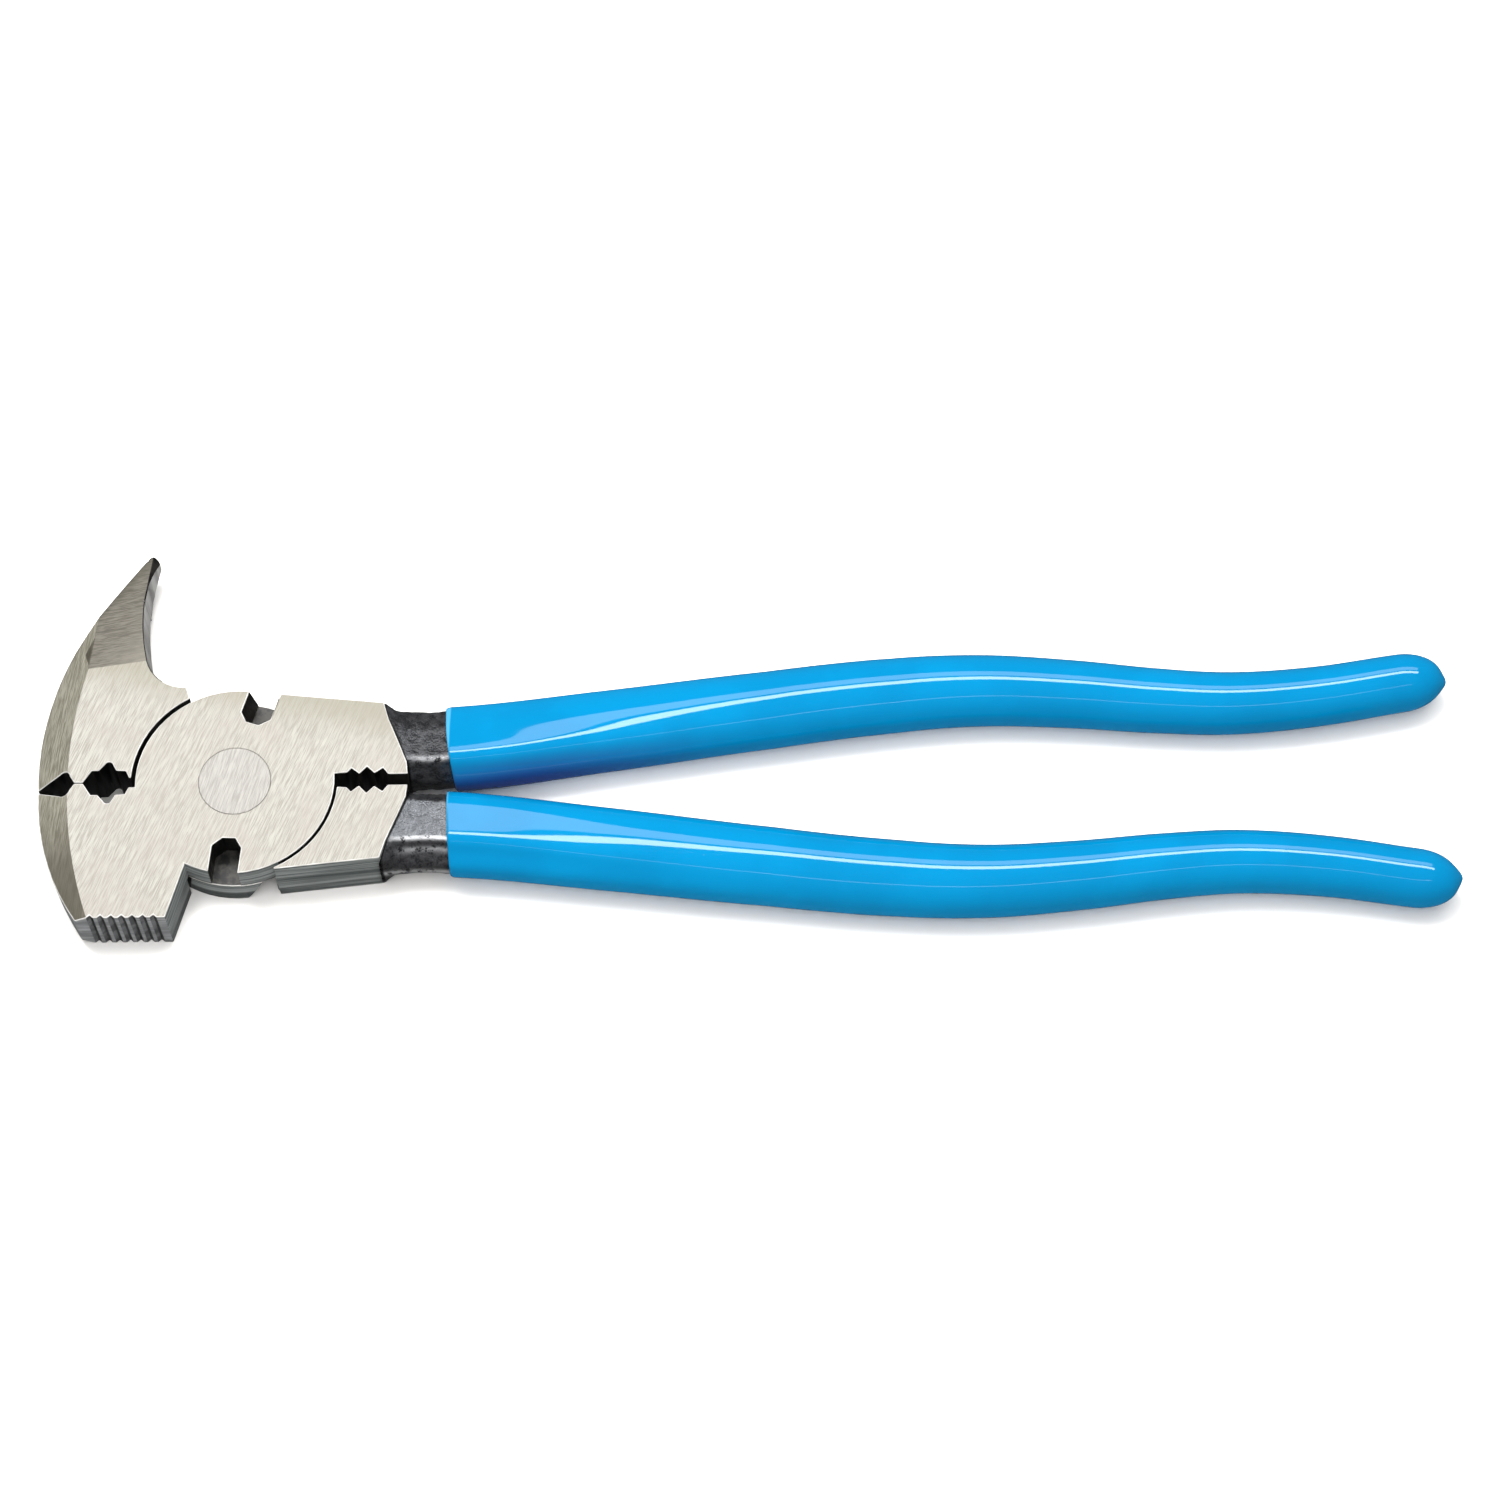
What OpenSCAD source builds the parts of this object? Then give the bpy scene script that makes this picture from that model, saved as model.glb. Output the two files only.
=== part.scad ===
// Fencing pliers: two lapped forgings on one rivet, each with a dipped vinyl grip.
// X runs along the handles, Y towards the claw, Z out of the front face.
// The origin is on the pivot axis, on the flat back face.

/* [Head] */
// Thickness of the head, ground flat on both faces
head_t = 12.4; // [12.2:0.1:12.8]
// Radius of the round lap of each half
lap_r = 18.7; // [18.5:0.05:18.8]
// Radius of the pocket in each jaw that the other half's lap turns in
jaw_pocket_r = 19.5; // [19.3:0.05:19.6]
// Radius of the pocket in each shoulder that the other half's lap turns in
shoulder_pocket_r = 19.25; // [19.1:0.05:19.4]
// Gap between the two laps, one above the other
lap_gap = 0.1; // [0.06:0.02:0.2]
// Gap between the contact flats of the closed jaws
jaw_gap = 0.16; // [0.1:0.02:0.3]

/* [Pivot] */
// Radius of the rivet, ground flush with both faces
rivet_r = 6.75; // [6.3:0.05:7]
// Radial play of the rivet in the claw half
rivet_play = 0.05; // [0.02:0.01:0.1]

/* [Hammer] */
// Distance from the pivot axis down to the striking face
strike_y = 27.3; // [26.5:0.1:28]
// Number of grooves across the striking face
groove_n = 7; // [3:1:7]
// Distance between two grooves
groove_pitch = 1.96; // [1.6:0.02:2]
// Depth of a groove
groove_d = 0.55; // [0.3:0.05:0.8]
// Width of a groove at its mouth
groove_w = 1.3; // [0.8:0.1:1.5]

/* [Claw] */
// Where the claw's ground facets begin, measured along the claw from the pivot axis
facet_start = 27.5; // [26:0.1:29]
// Slope of each facet, in mm of depth per mm of length
facet_slope = 0.154; // [0.1:0.002:0.18]
// Turn of the line where the facets begin
facet_turn = 8.2; // [0:0.2:15]
// Where the claw's point ends, measured along the claw from the pivot axis
point_end = 51.7; // [50:0.1:52]
// Radius of the point, seen from the side
point_r = 8; // [4:0.5:12]

/* [Edge bevel] */
// Radius of the line where the wide outer bevel leaves the face
bevel_r = 86.7; // [86:0.1:87.5]
// Width of the bevel for each mm of its depth
bevel_run = 1.46; // [1.2:0.02:1.6]

/* [Cutters] */
// Sideways lean of the upper notch's cutting wall, from face to lap
notch_lean_a = 1.2; // [0:0.1:2]
// Sideways lean of the lower notch's cutting wall, from face to lap
notch_lean_b = 3.7; // [0:0.1:3.8]

/* [Handles] */
// Wall of the dipped grip
grip_wall = 0.85; // [0.7:0.05:1.2]
// Half width of the forged neck
neck_w = 7.3; // [7:0.1:7.4]
// Where each grip's mouth stands along the handle
grip_mouth_x = 40; // [38:0.5:44]
// Where the steel ends inside the grip
tang_end_x = 221; // [214:1:222]
// Where the tip of each grip ends, before its drip point
grip_end_x = 228; // [226:0.5:229]
// Height of the neck's flat forged facets above the middle plane
neck_flat = 5; // [4.6:0.1:5.2]
// Sideways lean of the dip line at the upper grip's mouth
mouth_lean_a = 0.055; // [0:0.005:0.2]
// Sideways lean of the dip line at the lower grip's mouth
mouth_lean_b = 0.17; // [0:0.005:0.2]

/* [Hidden] */
$fn = 180;

mid_z = head_t / 2;
past = 1;                       // how far a cutting shape runs past a face
slip = 0.02;                    // play that keeps the tang free of its grip's wall
bore_r = rivet_r + rivet_play;
steel = [0.80, 0.78, 0.73];
dark_steel = [0.72, 0.71, 0.68];
blue_vinyl = [0.0, 0.42, 0.78];

// Outlines, seen from the front. Both jaws' outer walls are arcs: [centre x, centre y, radius].
hammer_arc = [12.1, 1.0, 49.6];
claw_arc = [14.1, 4.7, 51.8];
claw_back_arc = [311.2, -177.1, 400];
claw_bend_y = 29.5;
bevel_centre = [55.3, 2.1];

// The claw's hook: a fillet out of the ledge, then two wide arcs up to the point.
ledge_y = 19.6;
hook_fillet = [-10.4, 27.1, 7.5];
hook_lower_arc = [28.9, 37, 48];
hook_upper_arc = [11.9, 37, 31];
hook_blend_y = 25;
point_arc = [-18.05, 48.12, 1.05];

hammer_inner = [[-12, -jaw_gap / 2], [-8, -12], [-8.7, -17]];
hammer_wall_foot_x = -11.75;
groove_first_x = -25.7;

// Half of each opening between the closed jaws, above the contact line.
leaf_half = [[-38.5, -1], [-38, 0], [-33, 2.1], [-31.3, 2], [-30.05, 0], [-30.05, -1]];
leaf_round = [-32.15, 1.15, 1.25];
grip_half = [[-28.5, -1], [-28.5, 0], [-26.9, 2.45], [-25.6, 2.45], [-24.35, 3.85], [-23.1, 3.85],
             [-22.3, 2.45], [-20.5, 2.35], [-19.85, 0.95], [-18, 0.95], [-18, -1]];
grip_round = [-23.72, 3.4, 0.8];

// The shoulder, with the rear teeth along its lower edge.
shoulder_plan = [[8, 17.9], [27.5, 15.9], [28.5, 12.5], [30.6, 7.4], [32.1, 3.6], [32.4, 1.1],
                 [28.7, 1.1], [27.7, 2.4], [26.15, 1.3], [24.7, 2.7], [23.3, 1.2], [21.8, 2.4],
                 [21, 1.5], [18.2, 1.3], [10, 2], [4, 8], [6.2, 12.6]];

// The cutters: a hooked notch at the top of the lap and a deep slot at its bottom.
notch_plan = [[2.75, 21], [0.67, 14.3], [1.6, 12.3], [4, 11.5], [6.2, 12.6], [8.9, 21]];
slot_plan = [[-4.5, -21], [-3.7, -13], [-1.8, -11.5], [0.6, -11.6], [1.75, -13.6], [1, -21]];

// The handle's centre line, drawn for the upper handle.
handle_path = [[22, 9.2], [30, 8.8], [40, 8.9], [70, 12.3], [100, 16.1], [124, 18.8], [141, 19.6],
               [158, 18.6], [174, 17], [188, 16.3], [204, 17.5], [222, 20.3], [232, 22]];
// Half width and half thickness over the grip, by place along the handle.
grip_half_w = [[36, 8.15], [44, 8.12], [80, 7.85], [121, 7.4], [150, 6.8], [178, 6.2], [206, 5.75], [232, 5.5]];
grip_half_t = [[36, 6.2], [100, 6.2], [140, 6], [190, 5.5], [232, 5.2]];
// The neck's forged outline, across and up, and the fuller outline where it leaves the shoulder.
neck_section = [[7.3, -2], [7.3, 0.8], [2.1, 5], [-3.7, 5], [-5.05, 3.2], [-7.3, 1], [-7.3, -2.2],
                [-5.1, -5], [2.65, -5], [3.9, -3.2]];
root_section = [[6.8, -4.6], [6.8, 4.6], [2.6, 5.6], [-4.2, 5.6], [-6, 4.6], [-7.6, 2.6],
                [-7.6, -3.4], [-5.6, -5.6], [3, -5.6], [5, -5.1]];
// How much of the fuller outline is left at each place along the neck.
root_share = [[29, 1], [30, 1], [30.5, 0.55], [31.3, 0.3], [32.2, 0.12], [32.9, 0], [232, 0]];
// The neck's rings lean with the shoulder's end face, and straighten by the grip's mouth.
neck_lean = [[29, 0.31], [33, 0.3], [38, 0.05], [40, 0], [232, 0]];
sides = 32;

function catmull(p0, p1, p2, p3, t) =
    0.5 * (2 * p1 + (p2 - p0) * t + (2 * p0 - 5 * p1 + 4 * p2 - p3) * t * t
           + (3 * p1 - p0 - 3 * p2 + p3) * t * t * t);

function span_of(x, i = 1) =
    (i >= len(handle_path) - 3 || x < handle_path[i + 1].x) ? i : span_of(x, i + 1);

// Height of the centre line at x.
function path_y(x) =
    let (i = span_of(x),
         t = (x - handle_path[i].x) / (handle_path[i + 1].x - handle_path[i].x))
    catmull(handle_path[i - 1].y, handle_path[i].y, handle_path[i + 1].y, handle_path[i + 2].y, t);

function path_angle(x) = atan2(path_y(x + 0.5) - path_y(x - 0.5), 1);

// A point of the handle's ring at x, so far across it and so far up from the middle plane.
function on_ring(x, across, up, lean = 0) =
    let (turn = path_angle(x))
    [x - across * (sin(turn) + lean), path_y(x) + across * cos(turn), mid_z + up];

// One oval ring at x, with half sizes w and t.
function oval_ring(x, w, t, lean = 0) =
    [for (k = [0 : sides - 1])
        let (a = k * 360 / sides) on_ring(x, w * cos(a), t * sin(a), lean)];

// A closed solid through rings of equal length.
module loft(rings) {
    n = len(rings[0]);
    last = len(rings) - 1;
    polyhedron(
        points = [for (r = rings) for (p = r) p],
        faces = concat(
            [[for (k = [0 : n - 1]) k]],
            [for (i = [0 : last - 1]) for (k = [0 : n - 1])
                [i * n + k, (i + 1) * n + k, (i + 1) * n + (k + 1) % n]],
            [for (i = [0 : last - 1]) for (k = [0 : n - 1])
                [i * n + k, (i + 1) * n + (k + 1) % n, i * n + (k + 1) % n]],
            [[for (k = [n - 1 : -1 : 0]) last * n + k]]));
}

// One ring of the steel at x: fuller at the shoulder, and slimmer inside the grip.
function tang_ring(x, grow) =
    let (w = (lookup(x, grip_half_w) - grip_wall + grow) / neck_w,
         t = min(1, (lookup(x, grip_half_t) - grip_wall) / (neck_flat + 0.2)) + grow / neck_flat,
         share = lookup(x, root_share))
    [for (k = [0 : len(neck_section) - 1])
        let (p = neck_section[k] * (1 - share) + root_section[k] * share)
        on_ring(x, p.x * w, p.y * t, lookup(x, neck_lean))];

neck_stations = [29.3, 30, 30.5, 31.3, 32.2, 32.9, 34.5, 36.5];
tang_stations = [for (x = [44 : 11 : tang_end_x - 5]) x];

// The forged neck and the tang that the grip hides.
module tang() {
    loft([for (x = concat(neck_stations, tang_stations, [tang_end_x])) tang_ring(x, 0)]);
}

module tang_hollow() {
    loft([for (x = concat([36.5], tang_stations, [tang_end_x + slip])) tang_ring(x, slip)]);
}

end_len = 8;                    // length of the grip's rounded end
grip_start = grip_end_x - end_len;

// The grip's outside: a straight cut mouth, leaning by lean, and a rounded end.
module grip_shell(lean) {
    body = [for (x = [grip_mouth_x : 6 : grip_start - 3])
        oval_ring(x, lookup(x, grip_half_w), lookup(x, grip_half_t),
                  lean * max(0, 1 - (x - grip_mouth_x) / 30))];
    rounded = [for (a = [0 : 15 : 75])
        let (x = grip_start + end_len * sin(a), s = pow(cos(a), 0.9))
        oval_ring(x, lookup(x, grip_half_w) * s, lookup(x, grip_half_t) * s)];
    loft(concat(body, rounded, [oval_ring(grip_end_x + 0.5, 0.6, 0.6)]));
}

// Turns a shape of the upper handle's half over, onto the lower handle's half.
module turned_over() {
    translate([0, 0, head_t]) rotate([180, 0, 0]) children();
}

module arc_disc(a) {
    translate([a[0], a[1]]) circle(a[2]);
}

module front_layer(h = head_t) {
    translate([0, 0, mid_z + lap_gap / 2]) linear_extrude(h) children();
}

// Room under the front lap for the other half's lap.
module lap_pocket(r) {
    translate([0, 0, -past]) cylinder(r = r, h = mid_z + lap_gap / 2 + past);
}

// Openings between the closed jaws, for the upper jaw.
module jaw_teeth() {
    polygon(leaf_half);
    arc_disc(leaf_round);
    polygon(grip_half);
    arc_disc(grip_round);
}

// Keeps a jaw inside the wide bevels of its outer edge, front and back.
module within_bevels() {
    wide = bevel_r + bevel_run * mid_z;
    intersection() {
        children();
        translate(bevel_centre) rotate_extrude()
            polygon([[0, 0], [bevel_r, 0], [wide, mid_z], [bevel_r, head_t], [0, head_t]]);
    }
}

module groove_cutters() {
    for (i = [0 : groove_n - 1]) {
        x = groove_first_x + i * groove_pitch;
        translate([x, -strike_y, 0])
            polygon([[-groove_w / 2, -0.01], [groove_w / 2, -0.01], [0, groove_d]]);
    }
}

module hammer_plan() {
    foot = [hammer_wall_foot_x, -strike_y];
    difference() {
        intersection() {
            arc_disc(hammer_arc);
            polygon(concat([[-45, -jaw_gap / 2]], hammer_inner, [foot, [-45, -strike_y]]));
        }
        mirror([0, 1]) jaw_teeth();
        groove_cutters();
    }
}

// Everything below the claw's point, which is rounded in plan.
module claw_point_room() {
    arc_disc(point_arc);
    translate([-45, -10]) square([60, 10 + point_arc[1]]);
}

module claw_plan() {
    difference() {
        intersection() {
            union() {
                arc_disc(claw_arc);
                translate([-45, claw_bend_y]) square([45, 30]);
            }
            arc_disc(claw_back_arc);
            claw_point_room();
            polygon([[-42, jaw_gap / 2], [-10, jaw_gap / 2], [-8.9, 16.6], [-10, ledge_y],
                     [-5, 53], [-42, 53]]);
        }
        jaw_teeth();
        arc_disc(hook_fillet);
        translate([hook_fillet[0], ledge_y]) square([40, 30]);
        intersection() {
            arc_disc(hook_lower_arc);
            translate([-40, hook_blend_y]) square([80, hook_lower_arc[1] - hook_blend_y]);
        }
        intersection() {
            arc_disc(hook_upper_arc);
            translate([-40, hook_upper_arc[1]]) square([80, 30]);
        }
    }
}

// The claw seen from the side: its tapering facets and its blunt point.
module claw_side_profile() {
    drop = facet_slope * (point_end - facet_start);
    intersection() {
        polygon([[-70, 0], [facet_start, 0], [point_end, drop], [point_end, head_t - drop],
                 [facet_start, head_t], [-70, head_t]]);
        union() {
            translate([point_end - point_r, mid_z]) circle(point_r);
            translate([-70, 0]) square([70 + point_end - point_r, head_t]);
        }
    }
}

// Takes the corner off between a facet and the hook, growing from nothing up to the point.
module hook_edge_cutter() {
    translate([-19.12, 38.8, head_t - 2.1]) rotate([0, -34, -0.5])
        translate([0, 0, -20]) cube([10, 20, 40]);
}

// Full thickness claw, with its wide bevels and its ground facets.
module claw_jaw() {
    difference() {
        intersection() {
            within_bevels() linear_extrude(head_t) claw_plan();
            rotate([0, 0, facet_turn]) translate([-60, 0, 0])
                rotate([90, 0, 90]) linear_extrude(120) claw_side_profile();
        }
        hook_edge_cutter();
        translate([0, 0, head_t]) mirror([0, 0, 1]) hook_edge_cutter();
    }
}

// A cutting notch, leaning from the face down to the lap.
module notch_cutter(lean) {
    leaning = [for (p = notch_plan) p.x < 3 ? [p.x + lean, p.y] : p];
    hull() {
        translate([0, 0, mid_z]) linear_extrude(0.01) polygon(leaning);
        translate([0, 0, head_t]) linear_extrude(past) polygon(notch_plan);
    }
}

// Lap, shoulder and neck as the hammer half has them; the claw half has the same, turned over.
module handle_side(lean) {
    difference() {
        union() {
            front_layer(mid_z - lap_gap / 2) circle(lap_r);
            difference() {
                linear_extrude(head_t) polygon(shoulder_plan);
                lap_pocket(shoulder_pocket_r);
            }
            tang();
        }
        notch_cutter(lean);
        front_layer() polygon(slot_plan);
    }
}

module hammer_half() {
    color(steel) difference() {
        union() {
            handle_side(notch_lean_a);
            difference() {
                within_bevels() linear_extrude(head_t) hammer_plan();
                lap_pocket(jaw_pocket_r);
            }
        }
        translate([0, 0, -past]) cylinder(r = rivet_r, h = head_t + 2 * past);
    }
}

module claw_half() {
    color(steel) difference() {
        union() {
            turned_over() handle_side(notch_lean_b);
            difference() {
                claw_jaw();
                turned_over() lap_pocket(jaw_pocket_r);
            }
        }
        translate([0, 0, -past]) cylinder(r = bore_r, h = head_t + 2 * past);
    }
}

module pivot_rivet() {
    color(dark_steel) cylinder(r = rivet_r, h = head_t);
}

module grip(lean) {
    difference() {
        grip_shell(lean);
        tang_hollow();
    }
}

module hammer_half_grip() {
    color(blue_vinyl) grip(-mouth_lean_a);
}

module claw_half_grip() {
    color(blue_vinyl) turned_over() grip(-mouth_lean_b);
}

hammer_half();
claw_half();
pivot_rivet();
hammer_half_grip();
claw_half_grip();
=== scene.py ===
from math import atan2, cos, exp, hypot, pi, radians, sin

import bmesh
import bpy
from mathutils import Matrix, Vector, noise


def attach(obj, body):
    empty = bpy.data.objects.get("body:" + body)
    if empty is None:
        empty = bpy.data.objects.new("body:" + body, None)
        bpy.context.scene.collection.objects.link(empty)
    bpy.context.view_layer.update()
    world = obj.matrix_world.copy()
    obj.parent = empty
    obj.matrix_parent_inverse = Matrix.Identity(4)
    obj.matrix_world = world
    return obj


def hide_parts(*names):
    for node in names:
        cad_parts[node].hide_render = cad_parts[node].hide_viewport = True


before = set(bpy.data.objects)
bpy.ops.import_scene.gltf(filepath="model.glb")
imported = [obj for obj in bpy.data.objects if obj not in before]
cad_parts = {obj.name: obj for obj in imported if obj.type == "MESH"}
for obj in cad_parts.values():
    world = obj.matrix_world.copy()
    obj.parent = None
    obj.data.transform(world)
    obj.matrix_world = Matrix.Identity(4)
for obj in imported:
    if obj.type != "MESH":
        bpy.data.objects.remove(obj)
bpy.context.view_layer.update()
mm = 0.001
print("frame loaded:", ", ".join(sorted(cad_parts)))

# Camera, floor and light.

studio = {
    "cameraAt": (0.102967, -0.325712, 0.738206),
    "cameraTurn": (24.492, 0.728, -0.469),
    "lens": 102.19,
    "floorColor": (0.875, 0.86, 0.84, 1),
    "skyColor": (1.0, 1.0, 1.0, 1),
    "skyStrength": 0.07,
    # name: where it stands, size along x, size across, watts, seen in reflections
    "softBoxes": {
        "stripBox": ((0.10, 0.42, 0.93), 1.5, 0.14, 5.6, True),
        "stripHalo": ((0.10, 0.71, 0.90), 1.5, 0.25, 2.3, True),
        "frontEdge": ((0.10, -0.46, 0.90), 1.2, 0.02, 0.2, True),
        "broadKey": ((-0.09, 0.26, 0.95), 0.46, 0.30, 11.0, False),
        "highFill": ((0.07, -0.22, 1.08), 1.5, 1.5, 19.5, False),
    },
    "lookAt": (0.08, 0.0, 0.006),
}


def placeStudio(s):
    scene = bpy.context.scene
    camera = bpy.data.objects.new("camera", bpy.data.cameras.new("camera"))
    camera.location = s["cameraAt"]
    camera.rotation_euler = [radians(a) for a in s["cameraTurn"]]
    camera.data.sensor_width = 36
    camera.data.lens = s["lens"]
    camera.data.clip_start = 0.01
    scene.collection.objects.link(camera)
    scene.camera = camera

    for name, (at, along, across, watts, reflected) in s["softBoxes"].items():
        lamp = bpy.data.lights.new(name, "AREA")
        lamp.shape = "RECTANGLE"
        lamp.size, lamp.size_y, lamp.energy = along, across, watts
        box = bpy.data.objects.new(name, lamp)
        box.location = at
        box.visible_glossy = reflected
        box.rotation_euler = (Vector(at) - Vector(s["lookAt"])).to_track_quat("Z", "Y").to_euler()
        scene.collection.objects.link(box)

    world = bpy.data.worlds.new("studioWorld")
    world.use_nodes = True
    backdrop = world.node_tree.nodes["Background"]
    backdrop.inputs["Color"].default_value = s["skyColor"]
    backdrop.inputs["Strength"].default_value = s["skyStrength"]
    scene.world = world
    scene.view_settings.view_transform = "Standard"

    bm = bmesh.new()
    bmesh.ops.create_grid(bm, x_segments=1, y_segments=1, size=2.5)
    floor = meshPiece(bm, "floor", [paperFloor(s["floorColor"])])
    floor.visible_glossy = False


def meshPiece(bm, name, finishes):
    mesh = bpy.data.meshes.new(name)
    bm.to_mesh(mesh)
    bm.free()
    piece = bpy.data.objects.new(name, mesh)
    bpy.context.scene.collection.objects.link(piece)
    for finish in finishes:
        mesh.materials.append(finish)
    return piece


# Shader helpers and shared effects.

def addNode(tree, kind, **values):
    node = tree.nodes.new(kind)
    for key, value in values.items():
        setattr(node, key, value)
    return node


def wire(tree, source, target):
    tree.links.new(source, target)


def newGroup(name, inputs, outputs):
    group = bpy.data.node_groups.new(name, "ShaderNodeTree")
    for label, kind, value in inputs:
        socket = group.interface.new_socket(label, in_out="INPUT", socket_type=kind)
        if value is not None:
            socket.default_value = value
    for label, kind in outputs:
        group.interface.new_socket(label, in_out="OUTPUT", socket_type=kind)
    return group, group.nodes.new("NodeGroupInput"), group.nodes.new("NodeGroupOutput")


def mathNode(tree, operation, a, b=None, clamp=False):
    node = addNode(tree, "ShaderNodeMath", operation=operation, use_clamp=clamp)
    for socket, value in zip(node.inputs, (a, b)):
        if value is None:
            continue
        if isinstance(value, (int, float)):
            socket.default_value = value
        else:
            wire(tree, value, socket)
    return node.outputs[0]


def rangeNode(tree, value, low, high, toLow=0.0, toHigh=1.0):
    node = addNode(tree, "ShaderNodeMapRange", interpolation_type="SMOOTHSTEP")
    wire(tree, value, node.inputs["Value"])
    for label, amount in zip(("From Min", "From Max", "To Min", "To Max"), (low, high, toLow, toHigh)):
        node.inputs[label].default_value = amount
    return node.outputs["Result"]


def mixColor(tree, factor, a, b):
    node = addNode(tree, "ShaderNodeMix", data_type="RGBA")
    for socket, value in ((node.inputs[0], factor), (node.inputs[6], a), (node.inputs[7], b)):
        if isinstance(value, (int, float, tuple)):
            socket.default_value = value
        else:
            wire(tree, value, socket)
    return node.outputs[2]


def makeStreaks():
    # Fine lines left by grinding, drawn out along one direction, with slow clouding.
    tree, given, out = newGroup(
        "grindingStreaks",
        [("Vector", "NodeSocketVector", None), ("Angle", "NodeSocketFloat", 0.0),
         ("Grain", "NodeSocketVector", (100.0, 2000.0, 100.0)), ("Cloud Scale", "NodeSocketFloat", 120.0)],
        [("Streak", "NodeSocketFloat"), ("Cloud", "NodeSocketFloat"), ("Height", "NodeSocketFloat")])
    turn = addNode(tree, "ShaderNodeVectorRotate", rotation_type="Z_AXIS")
    wire(tree, given.outputs["Vector"], turn.inputs["Vector"])
    wire(tree, given.outputs["Angle"], turn.inputs["Angle"])
    drawn = addNode(tree, "ShaderNodeVectorMath", operation="MULTIPLY")
    wire(tree, turn.outputs["Vector"], drawn.inputs[0])
    wire(tree, given.outputs["Grain"], drawn.inputs[1])
    fine = addNode(tree, "ShaderNodeTexNoise", noise_dimensions="3D")
    fine.inputs["Scale"].default_value = 1.0
    fine.inputs["Detail"].default_value = 2.5
    wire(tree, drawn.outputs[0], fine.inputs["Vector"])
    broad = addNode(tree, "ShaderNodeTexNoise", noise_dimensions="3D")
    broad.inputs["Scale"].default_value = 0.42
    broad.inputs["Detail"].default_value = 2.0
    wire(tree, drawn.outputs[0], broad.inputs["Vector"])
    cloud = addNode(tree, "ShaderNodeTexNoise", noise_dimensions="3D")
    cloud.inputs["Detail"].default_value = 3.0
    wire(tree, given.outputs["Vector"], cloud.inputs["Vector"])
    wire(tree, given.outputs["Cloud Scale"], cloud.inputs["Scale"])
    both = mathNode(tree, "ADD", mathNode(tree, "MULTIPLY", fine.outputs["Fac"], 0.6),
                    mathNode(tree, "MULTIPLY", broad.outputs["Fac"], 0.4))
    wire(tree, rangeNode(tree, both, 0.40, 0.60), out.inputs["Streak"])
    wire(tree, rangeNode(tree, cloud.outputs["Fac"], 0.36, 0.66), out.inputs["Cloud"])
    wire(tree, both, out.inputs["Height"])
    return tree


def makeLumps():
    # Rough skin of a forging: soft lumps with fine grit on them.
    tree, given, out = newGroup(
        "forgedSkin",
        [("Vector", "NodeSocketVector", None), ("Lump Scale", "NodeSocketFloat", 500.0),
         ("Grit Scale", "NodeSocketFloat", 2600.0), ("Grit", "NodeSocketFloat", 0.35)],
        [("Height", "NodeSocketFloat"), ("Patch", "NodeSocketFloat"), ("Grit", "NodeSocketFloat")])
    lump = addNode(tree, "ShaderNodeTexNoise", noise_dimensions="3D")
    lump.inputs["Detail"].default_value = 3.0
    wire(tree, given.outputs["Vector"], lump.inputs["Vector"])
    wire(tree, given.outputs["Lump Scale"], lump.inputs["Scale"])
    grit = addNode(tree, "ShaderNodeTexNoise", noise_dimensions="3D")
    grit.inputs["Detail"].default_value = 2.0
    wire(tree, given.outputs["Vector"], grit.inputs["Vector"])
    wire(tree, given.outputs["Grit Scale"], grit.inputs["Scale"])
    wire(tree, mathNode(tree, "ADD", lump.outputs["Fac"],
                        mathNode(tree, "MULTIPLY", grit.outputs["Fac"], given.outputs["Grit"])),
         out.inputs["Height"])
    wire(tree, rangeNode(tree, lump.outputs["Fac"], 0.38, 0.62), out.inputs["Patch"])
    wire(tree, rangeNode(tree, grit.outputs["Fac"], 0.38, 0.62), out.inputs["Grit"])
    return tree


def newFinish(name):
    finish = bpy.data.materials.new(name)
    finish.use_nodes = True
    tree = finish.node_tree
    place = addNode(tree, "ShaderNodeTexCoord")
    return finish, tree, tree.nodes["Principled BSDF"], place.outputs["Object"]


def placeGroup(tree, group, vector, values):
    node = addNode(tree, "ShaderNodeGroup", node_tree=group)
    wire(tree, vector, node.inputs["Vector"])
    for label, value in values.items():
        node.inputs[label].default_value = value
    return node


def bumpInto(tree, shader, height, distance):
    bump = addNode(tree, "ShaderNodeBump")
    bump.inputs["Distance"].default_value = distance
    bump.inputs["Strength"].default_value = 1.0
    wire(tree, height, bump.inputs["Height"])
    wire(tree, bump.outputs["Normal"], shader.inputs["Normal"])


def tintBy(tree, mask, share, color, over):
    # Lays a colour over another where the mask says, at most by the share given.
    return mixColor(tree, mathNode(tree, "MULTIPLY", mask, share), color, over)


def fadeAcross(tree, vector, origin, direction):
    # 0 at the origin, 1 at the end of the direction, both in millimetres on the object itself.
    d = Vector(direction)
    offset = addNode(tree, "ShaderNodeVectorMath", operation="SUBTRACT")
    wire(tree, vector, offset.inputs[0])
    offset.inputs[1].default_value = [c * mm for c in origin]
    along = addNode(tree, "ShaderNodeVectorMath", operation="DOT_PRODUCT")
    wire(tree, offset.outputs[0], along.inputs[0])
    along.inputs[1].default_value = d / d.length_squared / mm
    return rangeNode(tree, along.outputs["Value"], 0.0, 1.0)


def paperFloor(color):
    finish, tree, shader, place = newFinish("paperFloor")
    shader.inputs["Base Color"].default_value = color
    shader.inputs["Roughness"].default_value = 1.0
    shader.inputs["Specular IOR Level"].default_value = 0.0
    return finish


streaks, lumps = makeStreaks(), makeLumps()


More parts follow.
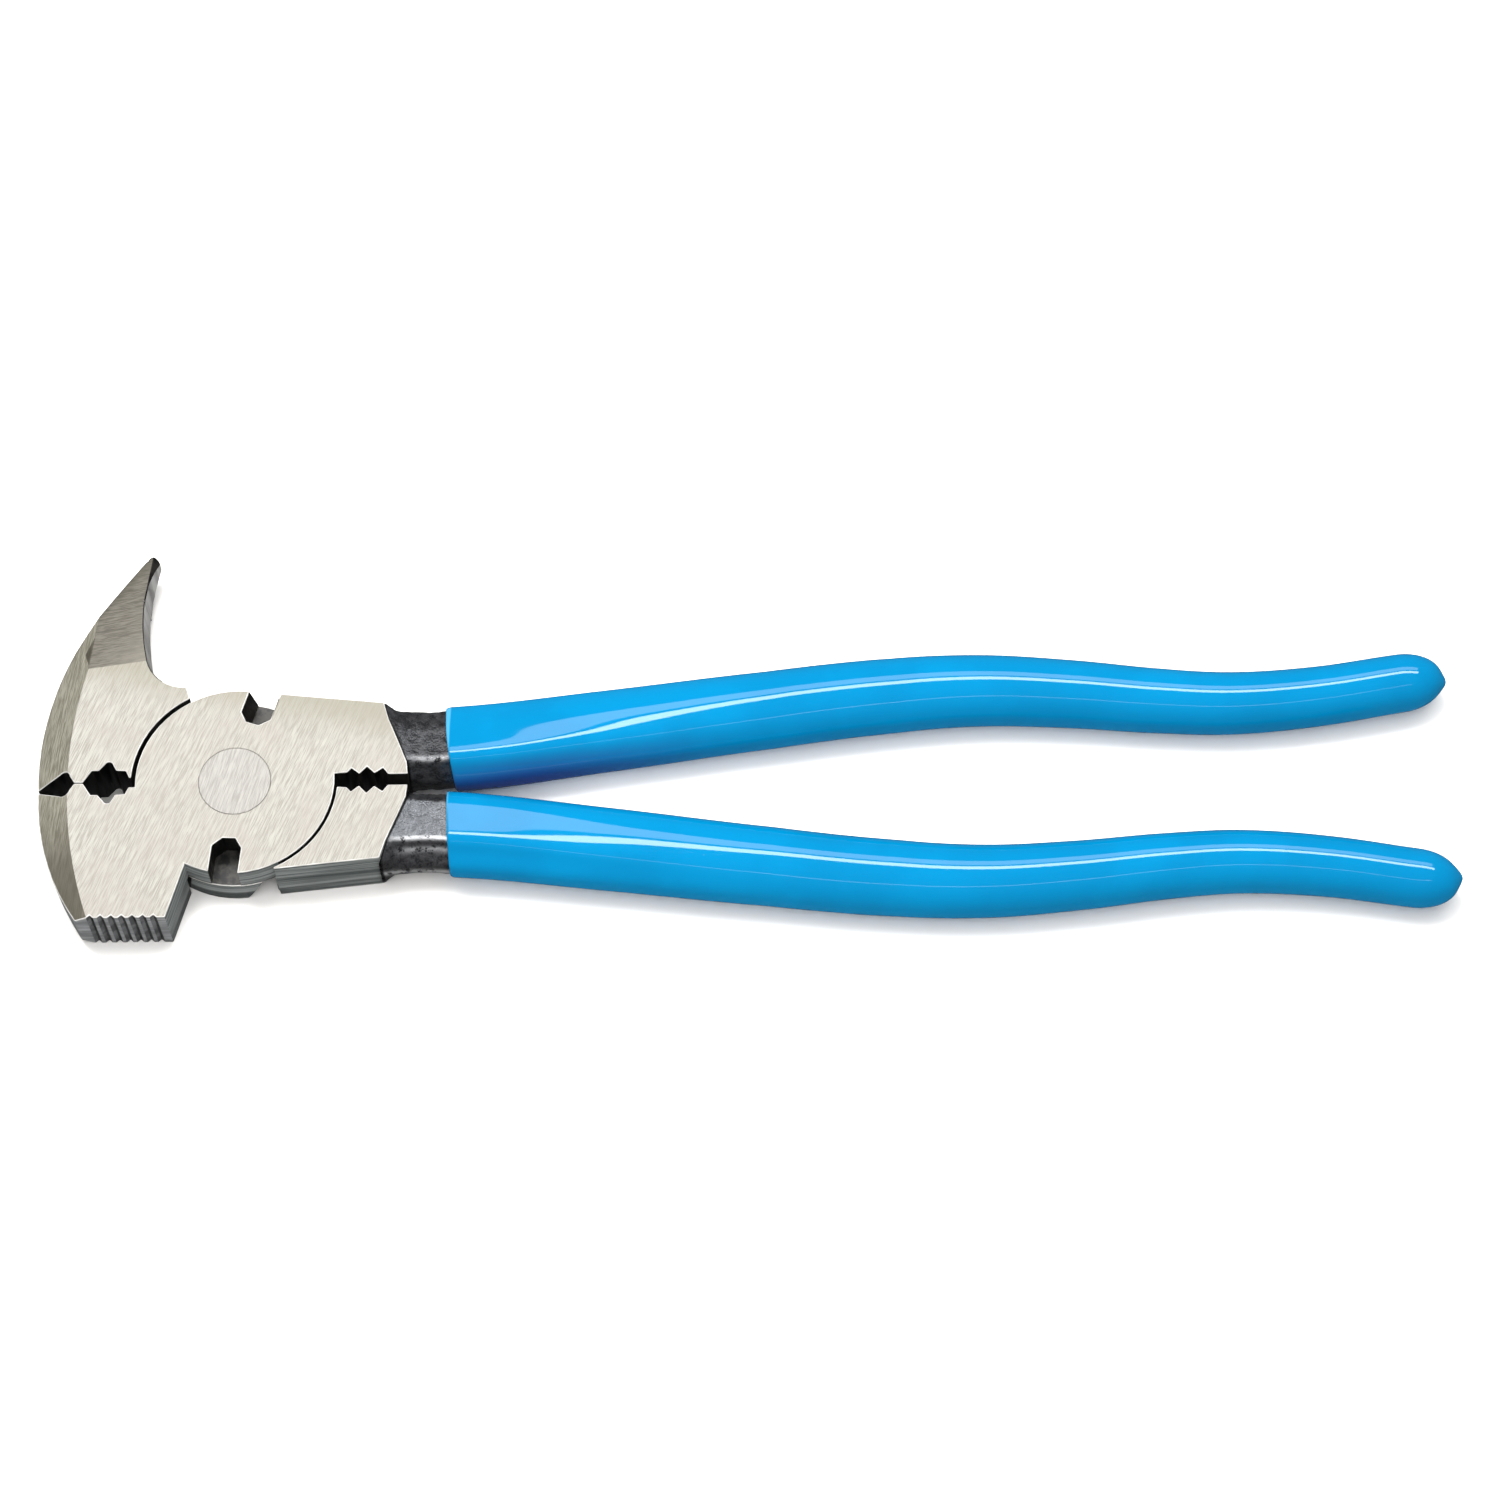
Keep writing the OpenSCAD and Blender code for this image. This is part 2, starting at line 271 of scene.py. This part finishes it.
def areaMask(tree, place, corners, edge):
    # A small area bounded by straight lines through its corners, taken in order.
    mask = None
    for (px, py), (qx, qy) in zip(corners, corners[1:] + corners[:1]):
        length = hypot(qx - px, qy - py)
        inward = ((py - qy) / length * edge, (qx - px) / length * edge, 0)
        side = fadeAcross(tree, place, (px, py, 0), inward)
        mask = side if mask is None else mathNode(tree, "MULTIPLY", mask, side)
    return mask


def steelFinish(name, s):
    finish, tree, shader, place = newFinish(name)
    lines = placeGroup(tree, streaks, place,
                       {"Angle": radians(s.get("angle", 0)), "Grain": s["grain"], "Cloud Scale": 130.0})
    color = mixColor(tree, lines.outputs["Streak"], s["dark"], s["light"])
    if "tint" in s:
        color = tintBy(tree, lines.outputs["Cloud"], s["tintShare"], color, s["tint"])
    for origin, direction, share, shade in s.get("fades", []):
        color = tintBy(tree, fadeAcross(tree, place, origin, direction), share, color, shade)
    # Lays a small area of painted shade given by its corners.
    if "patch" in s:
        patch = s["patch"]
        mask = areaMask(tree, place, patch["corners"], patch["edge"])
        color = tintBy(tree, mask, patch["share"], color, patch["color"])
    wire(tree, color, shader.inputs["Base Color"])
    wire(tree, rangeNode(tree, lines.outputs["Streak"], 0, 1, *s["rough"]), shader.inputs["Roughness"])
    shader.inputs["Metallic"].default_value = s["metallic"]
    bumpInto(tree, shader, lines.outputs["Height"], s["bump"])
    return finish


# Painted shade: a dark triangle where the claw's facet meets the bevel band, standing in for a small ground
# facet that is not modelled.
facetFootShade = {
    "corners": [(-28.57, 23.67), (-27.7, 31.8), (-29.9, 27.2)],
    "edge": 0.35,
    "share": 0.75,
    "color": (0.035, 0.028, 0.018, 1),
}

# grain: how fine the lines are along x, y and z; angle: which way they run;
# fades: where each starts, how far it runs, how strong it gets, its colour
headFinishes = {
    "groundFace": {"grain": (420.0, 7600.0, 420.0), "angle": -68, "dark": (0.25, 0.235, 0.205, 1),
                   "light": (0.45, 0.435, 0.395, 1), "tint": (0.34, 0.305, 0.275, 1), "tintShare": 0.3,
                   "rough": (0.42, 0.58), "bump": 0.00001, "metallic": 0.45,
                   "fades": [((0, 11, 0), (2, 9, 0), 0.6, (0.24, 0.225, 0.17, 1))]},
    # bevelBand: its fade is painted shade, darker toward the lower end of the band
    "bevelBand": {"grain": (420.0, 7600.0, 420.0), "angle": -82, "dark": (0.24, 0.225, 0.175, 1),
                  "light": (0.46, 0.44, 0.36, 1), "rough": (0.42, 0.55), "bump": 0.00001, "metallic": 0.6,
                  "fades": [((-30, -3, 0), (4, -14, 0), 0.75, (0.15, 0.135, 0.105, 1))],
                  "patch": facetFootShade},
    # clawFacet: its fades are painted light toward the lower right and painted shade toward the outer top left
    # of the flat facet
    "clawFacet": {"grain": (500.0, 6800.0, 500.0), "angle": -12, "dark": (0.105, 0.098, 0.082, 1),
                  "light": (0.20, 0.185, 0.155, 1), "rough": (0.36, 0.5), "bump": 0.00001, "metallic": 0.6,
                  "fades": [((-22, 36, 0), (9, -6, 0), 0.55, (0.30, 0.28, 0.235, 1)),
                            ((-24, 36, 0), (-4, 3, 0), 0.75, (0.06, 0.054, 0.04, 1))],
                  "patch": facetFootShade},
    "sideWall": {"grain": (40.0, 40.0, 1500.0), "dark": (0.12, 0.14, 0.14, 1),
                 "light": (0.46, 0.495, 0.49, 1), "rough": (0.38, 0.52), "bump": 0.000015, "metallic": 0.6},
    "strikeFace": {"grain": (120.0, 120.0, 1400.0), "dark": (0.28, 0.295, 0.305, 1),
                   "light": (0.52, 0.535, 0.55, 1), "rough": (0.4, 0.52), "bump": 0.000015, "metallic": 0.6},
    # painted shade: near-black walls down in openings, notches, pockets, the rivet hole and slanted cuts, and
    # along the hook's edge
    "shadedCutWall": {"grain": (900.0, 900.0, 60.0), "dark": (0.004, 0.004, 0.0045, 1),
                "light": (0.03, 0.028, 0.025, 1), "rough": (0.35, 0.6), "bump": 0.00004, "metallic": 0.6},
    # partly painted shade: lap faces darkened where they show down in the notch and slot; the mottling is
    # their own grain
    "shadedLapFace": {"grain": (700.0, 700.0, 700.0), "dark": (0.05, 0.05, 0.05, 1),
                "light": (0.14, 0.135, 0.125, 1), "rough": (0.4, 0.55), "bump": 0.00002, "metallic": 0.8},
    # painted shade in the strike face's grooves: the left flanks darkened, the right flanks, which face left,
    # darkened nearly to black
    "shadedGrooveLeft": {"grain": (500.0, 500.0, 700.0), "dark": (0.13, 0.135, 0.14, 1),
                   "light": (0.26, 0.27, 0.28, 1), "rough": (0.4, 0.52), "bump": 0.00003, "metallic": 0.6},
    "shadedGrooveRight": {"grain": (700.0, 700.0, 900.0), "dark": (0.02, 0.02, 0.022, 1),
                    "light": (0.12, 0.125, 0.13, 1), "rough": (0.4, 0.52), "bump": 0.00003, "metallic": 0.6},
    # painted light: a pale inner wall of the hook standing in for the white floor reflected in it
    "litHookWall": {"grain": (1500.0, 1500.0, 60.0), "dark": (0.28, 0.28, 0.275, 1),
                 "light": (0.46, 0.46, 0.45, 1), "rough": (0.35, 0.5), "bump": 0.000015, "metallic": 0.3},
    "edgeGlint": {"grain": (300.0, 300.0, 300.0), "dark": (0.55, 0.54, 0.51, 1),
                  "light": (0.8, 0.79, 0.76, 1), "rough": (0.35, 0.45), "bump": 0.00001, "metallic": 0.4},
}
finishOrder = list(headFinishes) + ["forgedNeck"]


def forgedFinish(name, s):
    finish, tree, shader, place = newFinish(name)
    skin = placeGroup(tree, lumps, place,
                      {"Lump Scale": s["lumpScale"], "Grit Scale": s["gritScale"], "Grit": s["grit"]})
    wornAndSheen, flat, rootShade = (addNode(tree, "ShaderNodeAttribute", attribute_name=label).outputs["Fac"]
                        for label in ("ridgeWearAndSheen", "paintedLitFlat", "paintedRootShade"))
    # Ridges are scuffed bright where the skin stands proud, with a painted highlight there too.
    proud = rangeNode(tree, skin.outputs["Height"], *s["wearAndSheenBand"])
    rubbedAndSheen = mathNode(tree, "MULTIPLY", wornAndSheen, proud, clamp=True)
    color = mixColor(tree, skin.outputs["Patch"], s["dark"], s["light"])
    color = tintBy(tree, skin.outputs["Grit"], s["gritShare"], color, s["gritColor"])
    color = mixColor(tree, rubbedAndSheen, color, s["wearAndSheenColor"])
    # Painted highlight: the flat that faces the lamp is made paler.
    color = tintBy(tree, flat, s["litFlatShare"], color, s["litFlatColor"])
    # Painted shade: black on the neck where it meets the shoulder.
    color = mixColor(tree, rootShade, color, s["rootShadeColor"])
    wire(tree, color, shader.inputs["Base Color"])
    wire(tree, rangeNode(tree, skin.outputs["Patch"], 0, 1, *s["rough"]), shader.inputs["Roughness"])
    wire(tree, rangeNode(tree, rubbedAndSheen, 0, 1, *s["metallic"]), shader.inputs["Metallic"])
    bumpInto(tree, shader, skin.outputs["Height"], s["bump"])
    return finish


neckFinish = {
    "lumpScale": 700.0,
    "gritScale": 3000.0,
    "grit": 0.5,
    "dark": (0.035, 0.037, 0.041, 1),
    "light": (0.085, 0.087, 0.093, 1),
    "gritShare": 0.4,
    "gritColor": (0.14, 0.14, 0.145, 1),
    "wearAndSheenBand": (0.56, 0.74),  # the skin's height from which it is scuffed bright with a painted highlight, and where fully
    "wearAndSheenColor": (0.75, 0.76, 0.78, 1),
    "litFlatShare": 0.85,
    "litFlatColor": (0.20, 0.21, 0.225, 1),
    "rootShadeColor": (0.004, 0.004, 0.004, 1),
    "rough": (0.28, 0.42),
    "metallic": (0.8, 0.15),  # skin, scuffed bright with a painted highlight
    "bump": 0.00026,
}

steels = [steelFinish(name, s) for name, s in headFinishes.items()] + [forgedFinish("forgedNeck", neckFinish)]
print("finishes made:", len(steels))

placeStudio(studio)
print("studio ready")

# The handle's course, shared by the necks and the grips.

handle = {
    # millimetres; each table is (place along x, value), and each outline goes once round (across, up)
    "path": [(22, 9.2), (30, 8.8), (40, 8.9), (70, 12.3), (100, 16.1), (124, 18.8), (141, 19.6),
             (158, 18.6), (174, 17), (188, 16.3), (204, 17.5), (222, 20.3), (232, 22)],
    "halfWide": [(36, 8.15), (44, 8.12), (80, 7.85), (121, 7.4), (150, 6.8), (178, 6.2), (206, 5.75),
                 (232, 5.5)],
    "halfThick": [(36, 6.2), (100, 6.2), (140, 6), (190, 5.5), (232, 5.2)],
    "neckOutline": [(7.4, -2), (7.4, 1.6), (2.6, 4.2), (-4.3, 5.4), (-5.6, 3.5), (-7.3, 1), (-7.3, -2.2),
                    (-5.1, -4.5), (3.1, -5.4), (4.5, -3.5)],
    "neckHalfWide": 7.3,
    "mouthOutline": [(8.3, -2.7), (8.4, 1.9), (3.0, 4.7), (-4.6, 6.3), (-6.4, 4.2), (-8.15, 1.6),
                     (-8.15, -2.8), (-5.7, -5.3), (3.8, -6.3), (5.2, -4.4)],
    "mouthHalfWide": 8.15,
    "gripWall": 0.85,
    "rootOutline": [(7.7, -4.4), (7.75, 4.7), (3.0, 5.8), (-4.2, 5.6), (-6, 4.6), (-7.6, 2.6),
                    (-7.6, -3.4), (-5.6, -5.6), (3, -5.6), (5, -5.1)],
    "rootShare": [(29, 1), (30, 1), (30.6, 0.78), (31.5, 0.5), (32.6, 0.27), (34, 0.1), (36, 0), (232, 0)],
    "lean": [(29, 0.31), (33, 0.3), (38, 0.05), (40, 0), (232, 0)],
    "middle": 6.2,
    "thickness": 12.4,
}


def lookUp(x, table):
    if x <= table[0][0]:
        return table[0][1]
    for (a, u), (b, v) in zip(table, table[1:]):
        if x <= b:
            return u + (v - u) * (x - a) / (b - a)
    return table[-1][1]


def courseHeight(x):
    # A smooth curve through the path's points.
    p = handle["path"]
    i = 1
    while i < len(p) - 3 and x >= p[i + 1][0]:
        i += 1
    t = (x - p[i][0]) / (p[i + 1][0] - p[i][0])
    a, b, c, d = (p[j][1] for j in (i - 1, i, i + 1, i + 2))
    return 0.5 * (2 * b + (c - a) * t + (2 * a - 5 * b + 4 * c - d) * t * t + (3 * b - a - 3 * c + d) * t ** 3)


def onCourse(x, across, up, lean, lower):
    # The lower handle is the upper one turned over about the tool's length.
    turn = atan2(courseHeight(x + 0.5) - courseHeight(x - 0.5), 1)
    p = Vector((x - across * (sin(turn) + lean), courseHeight(x) + across * cos(turn), handle["middle"] + up))
    if lower:
        p = Vector((p.x, -p.y, handle["thickness"] - p.z))
    return p * mm


def outlineRadius(outline, a):
    # How far the outline lies from its middle in direction a.
    dx, dy = cos(a), sin(a)
    far = 0.0
    for (px, py), (qx, qy) in zip(outline, outline[1:] + outline[:1]):
        ex, ey = qx - px, qy - py
        cross = dx * ey - dy * ex
        if abs(cross) < 1e-9:
            continue
        t = (px * ey - py * ex) / cross
        s = (px * dy - py * dx) / cross
        if t > 0 and -1e-6 <= s <= 1 + 1e-6:
            far = max(far, t)
    return far


def roundedRadii(outline, count, passes):
    radii = [outlineRadius(outline, 2 * pi * k / count) for k in range(count)]
    for _ in range(passes):
        radii = [(radii[k - 1] + 2 * radii[k] + radii[(k + 1) % count]) / 4 for k in range(count)]
    return radii


def tubePiece(rings, sides, place):
    # A closed tube of even rings, each vertex then put where place(ring, side) says.
    bm = bmesh.new()
    bmesh.ops.create_cone(bm, cap_ends=True, cap_tris=False, segments=sides, radius1=1, radius2=1, depth=1)
    tall = [e for e in bm.edges if abs(e.verts[0].co.z - e.verts[1].co.z) > 0.5]
    bmesh.ops.subdivide_edges(bm, edges=tall, cuts=rings - 1)
    for v in bm.verts:
        ring = round((v.co.z + 0.5) * rings)
        side = round(atan2(v.co.y, v.co.x) / (2 * pi) * sides) % sides
        v.co = place(ring, side)
    return bm


# The two forged halves.

halves = {
    "weld": 0.002,
    "shoulderEnd": [(1.1, 32.4), (3.6, 32.1), (7.4, 30.6), (12.5, 28.5), (15.9, 27.5)],
    "pastShoulder": 0.04,
    "headEnds": 27.2,
    "edgeBreak": 0.18,
    "sharpFrom": 42,
    "creaseFrom": 35,
    "hookEdge": (-8, 21),      # the hook's broken edge lies left of and above this
    "holeEdge": 7.2,           # the rivet hole's broken edge lies within this of the middle
    "neckSides": 120,
    "neckStations": [29.6] + [30 + 0.2 * i for i in range(30)] + [36 + 0.4 * i for i in range(18)],
    "lumpHeight": 0.12,
    "lumpsPerMm": 0.9,
    # across, up, reach and strength of each ridge that is scuffed bright and carries a painted highlight
    "wornAndSheenRidges": [(-4.1, 5.0, 0.5, 0.6), (2.9, -5.1, 0.5, 0.9), (4.6, -3.7, 0.6, 0.4),
                   (7.5, 0.2, 1.1, 0.5)],
    "rootShadeEnds": (0.2, 0.5),    # full and none, this far from the shoulder
    "flatAcross": (-4.9, 2.7),
    "flatBelow": -4.2,
    "neckFrom": 27,
}

# Where each finish of the head lies, in millimetres from the pivot.
zones = {
    "outside": (0.1, 12.3),
    "claw": (0, 24),
    "bevelLeftOf": -20,
    "strike": (-11, -26.3),
    "strikeCornerLeftOf": -27,
    "hookAbove": 18.5,
    "hookSpan": (-32, -8),
    "openingHalfWidth": 4.2,
    "openingsBeyond": 17,
    "notchDepth": (10.5, 18.3),
    "notchSpan": (-5.5, 9.2),
    "notchRadius": 18.55,
    "holeRadius": 6.9,
    "pocketRadius": (18.3, 19.7),
    "discShows": (-8.8, 9.2),
}


def between(value, ends):
    return ends[0] < value < ends[1]


def finishOf(face):
    # Which finish a face of the head takes, from where it lies and where it looks; by this, recess walls, lap
    # faces and groove flanks take painted shade and the hook's inner wall painted light.
    s = zones
    x, y, z = (c / mm for c in face.calc_center_median())
    flat = abs(face.normal.z)
    away = hypot(x, y)
    if flat > 0.9:
        outside = not s["outside"][0] <= z <= s["outside"][1]
        if x < s["claw"][0] and y > s["claw"][1] and not (outside and flat > 0.9999):
            return "clawFacet"
        return "groundFace" if outside else "shadedLapFace"
    if flat > 0.2:
        # Slanted faces off the bevel band take painted shade.
        return "bevelBand" if x < s["bevelLeftOf"] else "shadedCutWall"
    if x < s["strike"][0] and y < s["strike"][1]:
        if abs(face.normal.x) < 0.3 or x < s["strikeCornerLeftOf"]:
            return "strikeFace"
        # Groove flanks take painted shade, darker on the flanks that face left.
        return "shadedGrooveRight" if face.normal.x < 0 else "shadedGrooveLeft"
    # The hook's inner wall takes painted light.
    if y > s["hookAbove"] and between(x, s["hookSpan"]) and face.normal.x > 0.1:
        return "litHookWall"
    inOpening = abs(y) < s["openingHalfWidth"] and abs(x) > s["openingsBeyond"]
    inNotch = between(abs(y), s["notchDepth"]) and between(x, s["notchSpan"]) and away < s["notchRadius"]
    inPocket = between(away, s["pocketRadius"]) and not between(x, s["discShows"])
    # Walls down in openings, notches, the hole and pockets take painted shade.
    if inOpening or inNotch or away < s["holeRadius"] or inPocket:
        return "shadedCutWall"
    return "sideWall"


def headMesh(node):
    s = halves
    bm = bmesh.new()
    bm.from_mesh(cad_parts[node].data)
    bmesh.ops.remove_doubles(bm, verts=bm.verts, dist=s["weld"] * mm)
    beyond = []
    for v in bm.verts:
        x, y = v.co.x / mm, abs(v.co.y) / mm
        if x > lookUp(y, s["shoulderEnd"]) + s["pastShoulder"] and x > s["headEnds"]:
            beyond.append(v)
    bmesh.ops.delete(bm, geom=beyond, context="VERTS")
    rims = [e for e in bm.edges if e.is_boundary]
    bmesh.ops.holes_fill(bm, edges=rims, sides=0)
    for face in bm.faces:
        face.material_index = finishOrder.index(finishOf(face))
    sharp = [e for e in bm.edges if e.is_manifold and e.calc_face_angle() > radians(s["sharpFrom"])]
    broken = bmesh.ops.bevel(bm, geom=sharp, offset=s["edgeBreak"] * mm, offset_type="OFFSET", affect="EDGES",
                             segments=2, profile=0.5, material=-1, clamp_overlap=False)
    # Most chamfers take a painted highlight (edgeGlint), those along the hook's edge painted shade, those
    # round the rivet hole the ground face.
    for face in broken["faces"]:
        if between(abs(face.normal.z), (0.25, 0.97)):
            x, y, z = face.calc_center_median() / mm
            onHook = x < s["hookEdge"][0] and y > s["hookEdge"][1]
            edge = "shadedCutWall" if onHook else "groundFace" if hypot(x, y) < s["holeEdge"] else "edgeGlint"
            face.material_index = finishOrder.index(edge)
    for face in bm.faces:
        face.smooth = abs(face.normal.z) < 0.97
    for e in bm.edges:
        if e.is_manifold and e.calc_face_angle() > radians(s["creaseFrom"]):
            e.smooth = False
    return bm


def addNeck(bm, lower):
    s = halves
    neck = roundedRadii(handle["neckOutline"], s["neckSides"], 2)
    root = roundedRadii(handle["rootOutline"], s["neckSides"], 2)
    otherLumps = Vector((40 if lower else 0, 0, 0))

    def place(ring, side):
        x = s["neckStations"][ring]
        share = lookUp(x, handle["rootShare"])
        w = (lookUp(x, handle["halfWide"]) - handle["gripWall"]) / handle["neckHalfWide"]
        r = neck[side] * (1 - share) + root[side] * share
        a = 2 * pi * side / s["neckSides"]
        spot = Vector((x, r * cos(a), r * sin(a)))
        r += s["lumpHeight"] * noise.noise(spot * s["lumpsPerMm"] + otherLumps)
        return onCourse(x, r * cos(a) * w, r * sin(a), lookUp(x, handle["lean"]), lower)

    tube = tubePiece(len(s["neckStations"]) - 1, s["neckSides"], place)
    for face in tube.faces:
        face.material_index = finishOrder.index("forgedNeck")
        face.smooth = True
    carried = bpy.data.meshes.new("neckTube")
    tube.to_mesh(carried)
    tube.free()
    bm.from_mesh(carried)
    bpy.data.meshes.remove(carried)


def markNeck(mesh, lower):
    # Where the forging skin is scuffed bright with a painted highlight on its ridges, where a flat carries a
    # painted highlight, and where painted shade blackens it at the shoulder.
    s = halves
    full, none = s["rootShadeEnds"]
    marks = {"ridgeWearAndSheen": [], "paintedRootShade": [], "paintedLitFlat": []}
    for v in mesh.vertices:
        x, y, z = v.co / mm
        wearAndSheen = rootShade = flat = 0.0
        if x >= s["neckFrom"]:
            across = (-y if lower else y) - courseHeight(x)
            up = (handle["middle"] - z) if lower else (z - handle["middle"])
            wearAndSheen = min(1.0, sum(w * exp(-((across - a) ** 2 + (up - u) ** 2) / r ** 2)
                                for a, u, r, w in s["wornAndSheenRidges"]))
            away = x - lookUp(abs(y), s["shoulderEnd"])
            # painted shade, full at the shoulder and gone a little way along the neck
            rootShade = max(0.0, min(1.0, (none - away) / (none - full)))
            flat = float(between(across, s["flatAcross"]) and up < s["flatBelow"])
        for label, value in (("ridgeWearAndSheen", wearAndSheen), ("paintedRootShade", rootShade), ("paintedLitFlat", flat)):
            marks[label].append(value)
    for label, values in marks.items():
        mesh.attributes.new(label, "FLOAT", "POINT").data.foreach_set("value", values)


def makeHalf(node, name, body, lower):
    bm = headMesh(node)
    addNeck(bm, lower)
    piece = meshPiece(bm, name, steels)
    markNeck(piece.data, lower)
    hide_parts(node)
    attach(piece, body)
    print(name, "made:", len(piece.data.polygons), "faces")


makeHalf("hammer_half", "hammerForging", "hammer_handle", False)
makeHalf("claw_half", "clawForging", "claw_handle", True)

# The rivet.

rivet = {
    "weld": 0.002,
    "edgeBreak": 0.1,
    "finish": {"grain": (420.0, 7600.0, 420.0), "angle": -75, "dark": (0.25, 0.24, 0.22, 1),
               "light": (0.425, 0.41, 0.385, 1), "rough": (0.42, 0.56), "bump": 0.00001, "metallic": 0.45},
}


def makeRivet(s):
    bm = bmesh.new()
    bm.from_mesh(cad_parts["pivot_rivet"].data)
    bmesh.ops.remove_doubles(bm, verts=bm.verts, dist=s["weld"] * mm)
    bmesh.ops.dissolve_limit(bm, angle_limit=radians(0.7), verts=bm.verts, edges=bm.edges)
    rims = [e for e in bm.edges if e.calc_face_angle() > radians(40)]
    bmesh.ops.bevel(bm, geom=rims, offset=s["edgeBreak"] * mm, offset_type="OFFSET", affect="EDGES",
                    segments=2, profile=0.5, material=-1)
    for face in bm.faces:
        face.smooth = abs(face.normal.z) < 0.99
    piece = meshPiece(bm, "rivetPin", [steelFinish("rivetSteel", s["finish"])])
    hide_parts("pivot_rivet")
    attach(piece, "hammer_handle")
    print("rivet made")


makeRivet(rivet)

# The dipped grips.

grip = {
    "sides": 120,
    "mouthAt": 40,
    # place along the handle and inset from the outside, from inside the bore round the lip
    "mouthRings": [(46, 0.8), (41, 0.8), (40.15, 0.76), (39.95, 0.6), (39.88, 0.42), (39.95, 0.22),
                   (40.12, 0.08), (40.4, 0.01)],
    "mouthLean": {False: 0.0, True: -0.16},   # upper, lower
    "leanRun": 30,
    "mouthBulge": {False: 0.5, True: 0.1},
    "bulgeRun": 12,
    "firstRing": 41.2,
    "ringStep": 1.6,
    "ovalShare": [(40, 0), (50, 0.1), (75, 0.62), (105, 1), (232, 1)],
    "cornerPasses": 16,
    "endAt": 228,
    "endLength": 8,
    "endRings": 19,
    "dripAt": (-0.6, -0.3),
    "dripHeight": 0.7,
    "dripWidth": 1.5,
    "color": (0.0, 0.172, 0.365, 1),
    "deepColor": (0.0, 0.158, 0.338, 1),
    "lumpScale": 60.0,
    "gritScale": 900.0,
    "grit": 0.05,
    "roughness": 0.18,
    "coatIor": 1.65,
    "bump": 0.00008,
    # each tint: its fades (from, run), how strong it gets and its colour
    # painted highlight: a pale line round the mouth's lip
    "rimHighlight": {"fades": [((40.1, 0, 0), (-0.4, 0, 0))], "share": 0.35, "color": (0.16, 0.5, 0.72, 1)},
    # painted reflection: the white floor's light along the underside, paler toward the bottom
    "bellyReflection": {"fades": [((0, 0, 4.2), (0, 0, -2.2))], "share": 0.5, "color": (0.12, 0.33, 0.62, 1)},
    # painted shade behind the upper mouth, standing in for the dark neck's reflection and shadow on the grip
    "gripMouthShade": {"fades": [((48, 4.8, 0), (0.6, -4.2, 0)), ((98, 0, 0), (-46, 0, 0))], "share": 0.9,
            "color": (0.02, 0.03, 0.19, 1)},
}


def gripRings(s):
    # Place along the handle, inset from the outside, share of full size.
    rings = [(x, inset, 1) for x, inset in s["mouthRings"]]
    startOfEnd = s["endAt"] - s["endLength"]
    x = s["firstRing"]
    while x < startOfEnd - s["ringStep"] / 2:
        rings.append((x, 0, 1))
        x += s["ringStep"]
    for i in range(s["endRings"]):
        a = radians(90) * i / s["endRings"]
        rings.append((startOfEnd + s["endLength"] * sin(a), 0, cos(a) ** 0.9))
    rings.append((s["endAt"], 0, 0.02))
    return rings


def vinylFinish(name, s, tints):
    finish, tree, shader, place = newFinish(name)
    skin = placeGroup(tree, lumps, place,
                      {"Lump Scale": s["lumpScale"], "Grit Scale": s["gritScale"], "Grit": s["grit"]})
    color = mixColor(tree, skin.outputs["Patch"], s["color"], s["deepColor"])
    for tint in (s[label] for label in tints):
        mask = fadeAcross(tree, place, *tint["fades"][0])
        for fade in tint["fades"][1:]:
            mask = mathNode(tree, "MULTIPLY", mask, fadeAcross(tree, place, *fade))
        color = tintBy(tree, mask, tint["share"], color, tint["color"])
    wire(tree, color, shader.inputs["Base Color"])
    wire(tree, rangeNode(tree, skin.outputs["Grit"], 0, 1, s["roughness"] - 0.04, s["roughness"] + 0.04),
         shader.inputs["Roughness"])
    shader.inputs["Specular IOR Level"].default_value = 0.0  # the coat alone gives the gloss
    shader.inputs["Coat Weight"].default_value = 1.0
    shader.inputs["Coat Roughness"].default_value = 0.05
    shader.inputs["Coat IOR"].default_value = s["coatIor"]
    bumpInto(tree, shader, skin.outputs["Height"], s["bump"])
    return finish


def makeGrip(node, name, body, lower, finish):
    s = grip
    faceted = roundedRadii(handle["mouthOutline"], s["sides"], s["cornerPasses"])
    rings = gripRings(s)
    lean, bulge = s["mouthLean"][lower], s["mouthBulge"][lower]

    def place(ring, side):
        x, inset, size = rings[ring]
        a = 2 * pi * side / s["sides"]
        wide, thick = lookUp(x, handle["halfWide"]), lookUp(x, handle["halfThick"])
        oval = wide * thick / hypot(thick * cos(a), wide * sin(a))
        share = lookUp(x, s["ovalShare"])
        r = (faceted[side] * wide / handle["mouthHalfWide"] * (1 - share) + oval * share - inset) * size
        fromMouth = x - s["mouthAt"]
        p = onCourse(x, r * cos(a), r * sin(a), lean * max(0, 1 - fromMouth / s["leanRun"]), lower)
        front = -sin(a) if lower else sin(a)
        p.x -= bulge * front * max(0, 1 - fromMouth / s["bulgeRun"]) * mm
        if x > s["endAt"] - s["endLength"]:
            off = hypot(r * cos(a) - s["dripAt"][0], r * sin(a) - s["dripAt"][1])
            p.x += s["dripHeight"] * exp(-(off / s["dripWidth"]) ** 2) * mm
        return p

    bm = tubePiece(len(rings) - 1, s["sides"], place)
    for face in bm.faces:
        face.smooth = True
    piece = meshPiece(bm, name, [finish])
    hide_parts(node)
    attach(piece, body)
    print(name, "made:", len(piece.data.polygons), "faces")


makeGrip("hammer_half_grip", "hammerGrip", "hammer_handle", False,
         vinylFinish("hammerVinyl", grip, ["gripMouthShade", "rimHighlight", "bellyReflection"]))
makeGrip("claw_half_grip", "clawGrip", "claw_handle", True, vinylFinish("clawVinyl", grip, ["rimHighlight", "bellyReflection"]))
